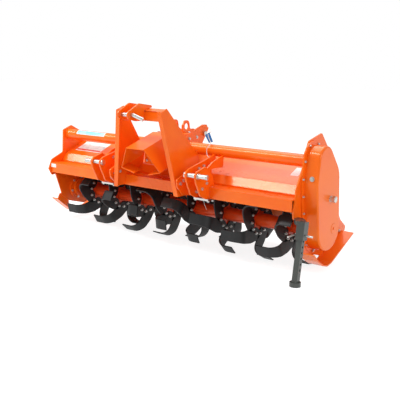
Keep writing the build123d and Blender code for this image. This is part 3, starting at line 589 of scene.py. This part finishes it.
class ROTAVATOR_OT_gearbox_fittings(bpy.types.Operator):
    """Breather, level plug and rear cover of the gearbox, grease nipples"""
    bl_idname = "rotavator.gearbox_fittings"
    bl_label = "Gearbox fittings"

    COVER_Z, COVER_T = 655, 7.0

    def execute(self, context):
        fitting("gearbox_breather", (0, -75, GEARBOX_TOP), UP,
                ((15.0, 6.0, 6), (9.0, 12.0, 16), (13.0, 8.0, 16, 10.0)))
        fitting("gearbox_rear_cover", (0, GEARBOX_REAR, self.COVER_Z), AFT,
                ((56.0, self.COVER_T, 40, 53.0), (30.0, 5.0, 32, 27.0)), "cast")
        bm = bmesh.new()
        for x, z in ring(6, 43.0, (0, self.COVER_Z), 30.0):
            bolt(bm, (x, GEARBOX_REAR + self.COVER_T, z), AFT, M8)
        # level plug
        drum(bm, (62, GEARBOX_REAR, 585), AFT, 9.0, 7.0, 6)
        piece("gearbox_cover_bolts", bm, "zinc", "frame")
        bm = bmesh.new()
        hub_top = (0, TRUNNION.y, TRUNNION.z + HUB_R)
        for place, way in (((-BEARING_OUT, 0, ROTOR_Z), LEFT), (hub_top, UP)):
            stack(bm, place, way, ((5.5, 4.0, 6), (3.2, 7.0, 12, 2.4)))
        piece("grease_nipple_bearing", bm, "zinc", "frame")
        return {"FINISHED"}


class ROTAVATOR_OT_spring(bpy.types.Operator):
    """Coil spring of the board's adjuster"""
    bl_idname = "rotavator.spring"
    bl_label = "Adjuster spring"

    # ends of the plain spring solid, from the trunnion down and from the board's eye up
    SEAT_TOP, SEAT_END = 216.0, 62.5
    OUTER_R = 20.5
    # how much the room for it shortens as the board rises all the way
    TRAVEL = 41.0
    STEPS_PER_TURN, WIRE_SIDES = 22, 8

    def execute(self, context):
        sizes = context.scene.rotavator_fasteners
        wire_r = sizes.spring_wire / MM
        way = (BOARD_EYE - TRUNNION).normalized()
        length = (BOARD_EYE - TRUNNION).length
        start, end = self.SEAT_TOP + 1.0 + wire_r, length - self.SEAT_END - 0.5 - wire_r
        steps = sizes.spring_turns * self.STEPS_PER_TURN
        base = TRUNNION + way * start
        across = Vector(RIGHT)
        bm = bmesh.new()
        side = aim(base + across * (self.OUTER_R - wire_r), way.cross(across))
        section = bmesh.ops.create_circle(bm, segments=self.WIRE_SIDES, radius=wire_r * MM, matrix=side)
        outline = list({edge for vert in section["verts"] for edge in vert.link_edges})
        bmesh.ops.spin(bm, geom=section["verts"] + outline, cent=at(*base), axis=way,
                       dvec=way * ((end - start) * MM / steps), angle=math.tau * sizes.spring_turns,
                       steps=steps, use_merge=False, use_duplicate=False)
        open_edges = [edge for edge in bm.edges if edge.is_boundary]
        bmesh.ops.holes_fill(bm, edges=open_edges, sides=self.WIRE_SIDES)
        coil = piece("adjuster_coil_spring", bm, "spring", "adjuster_upper")
        for face in coil.data.polygons:
            face.use_smooth = True
        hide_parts("adjuster_spring")
        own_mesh(coil)
        return {"FINISHED"}


class ROTAVATOR_OT_labels(bpy.types.Operator):
    """Blank films, reflector and swing tag"""
    bl_idname = "rotavator.labels"
    bl_label = "Labels"

    FILM_T = 0.4
    TUBE_FILM_T = 0.15
    # rows: piece, finish, height over the hood, its films' x0, x1, y0, y1
    HOOD_FILMS = (
        ("hood_labels", "white", 0.1, ((-1008, -742, -68, 56), (895, 952, -32, 52))),
        ("hood_label_stripe", "red", 0.55, ((-1002, -748, -62, -44),)),
    )
    # rows: piece, finish, height over the left tube, x0, x1, angles at which the film starts and ends
    TUBE_FILMS = (
        ("tube_label", "blue", 0.3, -925.0, -640.0, 112.0, 158.0),
        ("tube_label_edge", "white", 0.1, -932.0, -633.0, 106.0, 164.0),
    )
    REFLECTOR = ((-1059, -270.1, 436), (-1001, -270.1, 436), (-1001, -270.1, 463), (-1059, -270.1, 463))
    TAG = ((282, -92, 771), (315, -88, 792), (347, -90, 732), (316, -94, 723))

    def execute(self, context):
        for name, finish, lift, films in self.HOOD_FILMS:
            bm = bmesh.new()
            for x0, x1, y0, y1 in films:
                corners = ((x0, y0), (x1, y0), (x1, y1), (x0, y1))
                plate(bm, [(x, y, hood_top(y) + lift) for x, y in corners], self.FILM_T)
            piece(name, bm, finish, "frame")
        bm = bmesh.new()
        plate(bm, self.REFLECTOR, 0.8)
        piece("front_reflector", bm, "white", "frame")
        for name, finish, lift, x0, x1, start, end in self.TUBE_FILMS:
            bm = bmesh.new()
            ends = []
            for x in (x0, x1):
                outer = arc((x, TUBE_Y, TUBE_Z), TUBE_R + lift, start, end, 8)
                inner = arc((x, TUBE_Y, TUBE_Z), TUBE_R + lift - self.TUBE_FILM_T, start, end, 8)
                loop = [bm.verts.new(at(*p)) for p in outer + inner[::-1]]
                ends += [bm.edges.new((loop[i - 1], loop[i])) for i in range(len(loop))]
                bm.faces.new(loop)
            bmesh.ops.bridge_loops(bm, edges=ends)
            piece(name, bm, finish, "frame")
        bm = bmesh.new()
        plate(bm, self.TAG, 0.6)
        piece("swing_tag", bm, "tag", "frame")
        return {"FINISHED"}


class ROTAVATOR_OT_twine(bpy.types.Operator):
    """Twine of the swing tag, tie wires and clips"""
    bl_idname = "rotavator.twine"
    bl_label = "Twine and clips"

    # from the right rear bracket's arm forward to the tag, then down in front of the main tube to the ear
    TWINE = (
        (57.5, 222, 797), (130, 145, 794), (215, 55, 791), (285, -30, 788), (300, -86, 784),
        (314, -98, 762), (332, -100, 735), (346, -112, 724), (346, -124, 714), (337, -129, 703),
        (329, -131, 688), (327, -131, 672), (330, -131, 655), (340, -138, 643), (360, -156, 641),
        (378, -172, 642),
    )
    TWINE_R = 2.4
    # tie wire at the right clamp, hanging free for a little way
    TIE = ((441, -296, 397), (444, -303, 384), (447, -300, 362), (448, -288, 344), (446, -276, 326))
    TIE_R = 1.1
    # wire ring on each lower link pin
    CLIP_X, CLIP_Y, CLIP_Z = 530, -389, 553
    CLIP_CIRCLE, CLIP_R = 15.5, 1.6

    def execute(self, context):
        line = self.TWINE
        strand = wire("tag_twine", line, self.TWINE_R, "twine", "frame")
        wire("clamp_tie_wire", self.TIE, self.TIE_R, "zinc", "frame")
        for s, side in zip(SIDES, ("right", "left")):
            loop = arc((s * self.CLIP_X, self.CLIP_Y, self.CLIP_Z), self.CLIP_CIRCLE, 0, 350, 18)
            wire("link_pin_clip_%s" % side, loop, self.CLIP_R, "zinc", "frame")
        return {"FINISHED"}


class ROTAVATOR_OT_welds(bpy.types.Operator):
    """Weld beads where plates meet the beam, tubes and shells"""
    bl_idname = "rotavator.welds"
    bl_label = "Weld beads"

    PITCH = 6.0
    BEAD_R, TUBE_BEAD_R = 3.4, 3.6
    TUBE_BEADS = 44
    # rows: start and end of a bead on the right half
    BEADS = (
        ((1054, -270, 470), (1054, -200, 470)),
        ((291, -271, 470), (291, -271, 400)),
        ((384.5, -271, 470), (384.5, -271, 400)),
        ((462.5, -271, 470), (462.5, -271, 400)),
        ((462.5, -268, 470.5), (462.5, -220, 470.5)),
        ((384.5, -268, 470.5), (384.5, -150, 470.5)),
        ((450, -268, 470.5), (450, -220, 470.5)),
        ((301.5, -268, 470.5), (301.5, -242, 470.5)),
        ((47, -420, 930.5), (47, -376, 942.5)),
        ((150, -424.5, 929), (-150, -424.5, 929)),
    )

    def execute(self, context):
        bm = bmesh.new()

        def bead(place, radius):
            bmesh.ops.create_icosphere(bm, subdivisions=1, radius=radius * MM,
                                       matrix=Matrix.Translation(at(*place)))

        for p, q in self.BEADS:
            for s in SIDES:
                a, b = Vector((p[0] * s, p[1], p[2])), Vector((q[0] * s, q[1], q[2]))
                count = max(4, int((b - a).length / self.PITCH))
                for i in range(count):
                    bead(a.lerp(b, (i + 0.5) / count), self.BEAD_R)
        # round both main tubes, where they meet the end plates
        for s in SIDES:
            for y, z in ring(self.TUBE_BEADS, TUBE_R + 1, (TUBE_Y, TUBE_Z)):
                bead((s * (PLATE_IN - 1.5), y, z), self.TUBE_BEAD_R)
        piece("weld_beads", bm, "orange", "frame")
        return {"FINISHED"}


class ROTAVATOR_OT_stage(bpy.types.Operator):
    """Floor, lamps, sky and camera"""
    bl_idname = "rotavator.stage"
    bl_label = "Stage"

    FLOOR_REACH = 30.0
    # rows: name, place, what it looks at, width, depth, watts
    LAMPS = (
        ("top_lamp", (-0.8, 0.9, 4.0), (0.0, 0.0, 0.4), 3.0, 3.0, 75.0),
        ("side_lamp", (5.0, -1.2, 2.6), (0.3, 0.0, 0.4), 2.6, 2.6, 62.0),
        ("skirt_lamp", (-2.6, -1.74, 3.3), (-2.6, -0.1, 0.6), 4.2, 0.55, 135.0),
    )
    CAMERA_PLACE = (2.8965, -3.482, 1.226)
    # degrees: turn to the left, look down, tilt
    YAW, DROP, ROLL = 37.86, 11.51, 1.05
    LENS_MM = 60.1

    def floor(self, scene):
        """Floor that looks white to the camera and in reflections, and keeps the machine's shadow."""
        paper = new_finish("Pale studio floor")
        path = add(paper, "ShaderNodeLightPath")
        seen = add(paper, "ShaderNodeMath", {"operation": "MAXIMUM"},
                   {0: path.outputs["Is Camera Ray"], 1: path.outputs["Is Glossy Ray"]})
        matt = add(paper, "ShaderNodeBsdfDiffuse", {"Color": grey(0.80)})
        pale = add(paper, "ShaderNodeBsdfDiffuse", {"Color": grey(0.34)})
        glow = add(paper, "ShaderNodeEmission", {"Color": grey(1.0), "Strength": 0.86})
        both = add(paper, "ShaderNodeAddShader", None, {0: pale.outputs[0], 1: glow.outputs[0]})
        mix = add(paper, "ShaderNodeMixShader", None,
                  {0: seen.outputs[0], 1: matt.outputs[0], 2: both.outputs[0]})
        close_finish(paper, mix)
        bm = bmesh.new()
        bmesh.ops.create_grid(bm, x_segments=1, y_segments=1, size=self.FLOOR_REACH)
        floor = bpy.data.objects.new("floor", bpy.data.meshes.new("floor"))
        bm.to_mesh(floor.data)
        bm.free()
        floor.data.materials.append(paper)
        scene.collection.objects.link(floor)

    def sky(self, scene):
        """Soft light from all round, white where the camera sees it."""
        world = bpy.data.worlds.new("Soft white sky")
        world.use_nodes = True
        scene.world = world
        world.node_tree.nodes.clear()
        path = add(world, "ShaderNodeLightPath")
        seen = add(world, "ShaderNodeMath", {"operation": "MAXIMUM"},
                   {0: path.outputs["Is Camera Ray"], 1: path.outputs["Is Transmission Ray"]})
        dim = add(world, "ShaderNodeBackground", {"Color": grey(1.0), "Strength": 0.6})
        full = add(world, "ShaderNodeBackground", {"Color": grey(1.0), "Strength": 1.0})
        mix = add(world, "ShaderNodeMixShader", None,
                  {0: seen.outputs[0], 1: dim.outputs[0], 2: full.outputs[0]})
        add(world, "ShaderNodeOutputWorld", None, {"Surface": mix.outputs[0]})

    def lamps(self, scene):
        for name, place, aim_at, width, depth, watts in self.LAMPS:
            data = bpy.data.lights.new(name, "AREA")
            data.shape = "RECTANGLE"
            data.size = width
            data.size_y = depth
            data.energy = watts
            lamp = bpy.data.objects.new(name, data)
            lamp.location = place
            lamp.rotation_euler = (Vector(aim_at) - Vector(place)).to_track_quat("-Z", "Y").to_euler()
            scene.collection.objects.link(lamp)

    def camera(self, scene):
        yaw, drop, roll = math.radians(self.YAW), math.radians(self.DROP), math.radians(self.ROLL)
        ahead = Vector((-math.sin(yaw) * math.cos(drop), math.cos(yaw) * math.cos(drop), -math.sin(drop)))
        right = Vector((math.cos(yaw), math.sin(yaw), 0.0))
        up = right.cross(ahead)
        tilted_right = right * math.cos(roll) + up * math.sin(roll)
        tilted_up = up * math.cos(roll) - right * math.sin(roll)
        lens = bpy.data.cameras.new("camera")
        lens.lens = self.LENS_MM
        lens.sensor_width = 36.0
        lens.clip_end = 100.0
        camera = bpy.data.objects.new("camera", lens)
        turn = Matrix((tilted_right, tilted_up, -ahead)).transposed().to_4x4()
        camera.matrix_world = Matrix.Translation(self.CAMERA_PLACE) @ turn
        scene.collection.objects.link(camera)
        scene.camera = camera

    def execute(self, context):
        scene = context.scene
        scene.view_settings.view_transform = "Standard"
        self.floor(scene)
        self.sky(scene)
        self.lamps(scene)
        self.camera(scene)
        return {"FINISHED"}


# ------------------------------------------------------------------ the add-on
class ROTAVATOR_PT_panel(bpy.types.Panel):
    """The machine's steps, in order"""
    bl_label = "Rotavator"
    bl_idname = "ROTAVATOR_PT_panel"
    bl_space_type = "VIEW_3D"
    bl_region_type = "UI"
    bl_category = "Rotavator"

    def draw(self, context):
        for step in STEPS:
            self.layout.operator(step)


OPERATORS = (
    ROTAVATOR_OT_stage, ROTAVATOR_OT_finishes, ROTAVATOR_OT_blade_bolts, ROTAVATOR_OT_case_bolts,
    ROTAVATOR_OT_frame_bolts, ROTAVATOR_OT_gearbox_fittings, ROTAVATOR_OT_spring, ROTAVATOR_OT_labels,
    ROTAVATOR_OT_twine, ROTAVATOR_OT_welds,
)
STEPS = tuple(cls.bl_idname for cls in OPERATORS)
CLASSES = (RotavatorColours, RotavatorFasteners, *OPERATORS, ROTAVATOR_PT_panel)


def register():
    for cls in CLASSES:
        bpy.utils.register_class(cls)
    bpy.types.Scene.rotavator_colours = PointerProperty(type=RotavatorColours)
    bpy.types.Scene.rotavator_fasteners = PointerProperty(type=RotavatorFasteners)


def unregister():
    del bpy.types.Scene.rotavator_fasteners
    del bpy.types.Scene.rotavator_colours
    for cls in reversed(CLASSES):
        bpy.utils.unregister_class(cls)


def main():
    register()
    for step in STEPS:
        family, name = step.split(".")
        if getattr(getattr(bpy.ops, family), name)() != {"FINISHED"}:
            raise RuntimeError(step)


if __name__ == "__main__":
    main()
